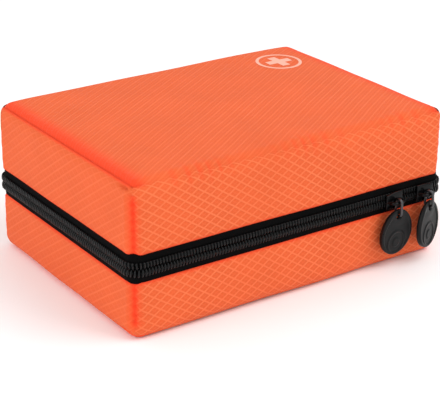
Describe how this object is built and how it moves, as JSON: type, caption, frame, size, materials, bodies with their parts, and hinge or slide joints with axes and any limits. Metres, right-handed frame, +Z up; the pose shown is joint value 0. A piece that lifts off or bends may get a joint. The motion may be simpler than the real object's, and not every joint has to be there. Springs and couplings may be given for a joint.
{
  "type": "first aid kit",
  "caption": "Small soft first aid kit: padded ripstop case that opens like a shell on a zip with two pulls, packed with dressings, bandages, tape, scissors and tweezers.",
  "frame": {"origin": "centre of the case's flat underside, on the surface it stands on", "axes": "+X to the right along the front wall that carries the zip pulls, +Y to the back where the lid hinges, +Z up"},
  "size_m": [0.181, 0.1392, 0.076],
  "materials": {
    "orange_fabric": "diamond ripstop nylon, soft sheen",
    "spine_fabric": "ripstop nylon, soft sheen",
    "lining_fabric": "plain woven lining, matt",
    "binding_tape": "grosgrain, matt",
    "zip_tape": "herringbone woven tape, matt",
    "zip_coil": "moulded coil, satin",
    "end_stop": "pressed, satin",
    "slider_metal": "black enamel, satin",
    "link_wire": "dark plated wire",
    "tab_rubber": "moulded, matt",
    "divider_fabric": "foam board in fabric, matt",
    "bandage_cloth": "loose cotton weave",
    "medical_tape": "non-woven tape, matt",
    "tape_core": "plain board",
    "sachet_paper": "coated paper",
    "plaster_carton": "coated board, satin",
    "glove_pouch": "soft film, satin",
    "dressing_pouch": "peel pouch, satin",
    "wipe_sachet": "foil laminate, glossy",
    "small_tool_steel": "satin stainless steel",
    "safety_pin_wire": "bright nickel plate",
    "scissor_steel": "ground stainless steel",
    "scissor_grip": "fine moulded grain",
    "pocket_net": "knitted net",
    "pocket_elastic": "folded elastic, matt",
    "foil_blanket_pouch": "clear film over foil",
    "triangular_bandage_pouch": "film pouch, satin",
    "face_shield_pouch": "woven film pouch, satin",
    "guide_leaflet": "uncoated paper"
  },
  "bodies": {
    "base": {"base_shell": "orange_fabric", "base_lining": "lining_fabric", "base_binding": "binding_tape", "base_zip_tape": "zip_tape", "base_zip_coil": "zip_coil", "base_spine_strip": "spine_fabric", "left_zip_end_stop": "end_stop", "right_zip_end_stop": "end_stop", "base_divider": "divider_fabric", "crepe_bandage_roll": "bandage_cloth", "gauze_bandage_roll": "bandage_cloth", "wide_tape_roll": "medical_tape", "wide_tape_core": "tape_core", "narrow_tape_roll": "medical_tape", "narrow_tape_core": "tape_core", "lower_gauze_pack": "sachet_paper", "middle_gauze_pack": "sachet_paper", "upper_gauze_pack": "sachet_paper", "plaster_carton": "plaster_carton", "glove_pack": "glove_pouch", "wound_dressing_pack": "dressing_pouch", "lower_wipe_sachet": "wipe_sachet", "middle_wipe_sachet": "wipe_sachet", "upper_wipe_sachet": "wipe_sachet", "tweezers": "small_tool_steel", "left_safety_pin": "safety_pin_wire", "right_safety_pin": "safety_pin_wire", "lower_scissor_blade": "scissor_steel", "lower_scissor_handle": "scissor_grip", "scissor_rivet": "scissor_steel"},
    "lid": {"lid_shell": "orange_fabric", "lid_lining": "lining_fabric", "lid_binding": "binding_tape", "lid_zip_tape": "zip_tape", "lid_zip_coil": "zip_coil", "lid_spine_strip": "spine_fabric", "net_pocket": "pocket_net", "net_pocket_elastic": "pocket_elastic", "foil_blanket_pack": "foil_blanket_pouch", "triangular_bandage_pack": "triangular_bandage_pouch", "face_shield_pack": "face_shield_pouch", "guide_leaflet": "guide_leaflet"},
    "left_slider": {"left_slider": "slider_metal"},
    "right_slider": {"right_slider": "slider_metal"},
    "left_link": {"left_link": "link_wire"},
    "right_link": {"right_link": "link_wire"},
    "left_pull_tab": {"left_pull_tab": "tab_rubber"},
    "right_pull_tab": {"right_pull_tab": "tab_rubber"},
    "upper_scissor_half": {"upper_scissor_blade": "scissor_steel", "upper_scissor_handle": "scissor_grip"}
  },
  "joints": [
    {"name": "lid_hinge", "type": "hinge", "parent": "base", "child": "lid", "pos_m": [0, 0.0653, 0.0353], "axis": [-1, 0, 0], "range_deg": [0, 155]},
    {"name": "left_slider_travel", "type": "slide", "parent": "base", "child": "left_slider", "axis": [1, 0, 0], "range_m": [-0.121, 0]},
    {"name": "right_slider_travel", "type": "slide", "parent": "base", "child": "right_slider", "axis": [1, 0, 0], "range_m": [0, 0.005]},
    {"name": "left_link_swing", "type": "hinge", "parent": "left_slider", "child": "left_link", "pos_m": [0.0562, -0.0699, 0.0353], "axis": [-1, 0, 0], "range_deg": [0, 120]},
    {"name": "right_link_swing", "type": "hinge", "parent": "right_slider", "child": "right_link", "pos_m": [0.0754, -0.0699, 0.0353], "axis": [-1, 0, 0], "range_deg": [0, 120]},
    {"name": "left_tab_turn", "type": "hinge", "parent": "left_link", "child": "left_pull_tab", "pos_m": [0.0562, -0.06955, 0.02861], "axis": [0, 0.9945, 0.1045], "range_deg": [0, 45]},
    {"name": "right_tab_turn", "type": "hinge", "parent": "right_link", "child": "right_pull_tab", "pos_m": [0.0754, -0.0699, 0.0286], "axis": [-0.342, 0.9397, 0], "range_deg": [-45, 0]},
    {"name": "scissor_pivot", "type": "hinge", "parent": "base", "child": "upper_scissor_half", "pos_m": [-0.022, 0.002, 0.0478], "axis": [0, 0, -1], "range_deg": [0, 50]}
  ]
}
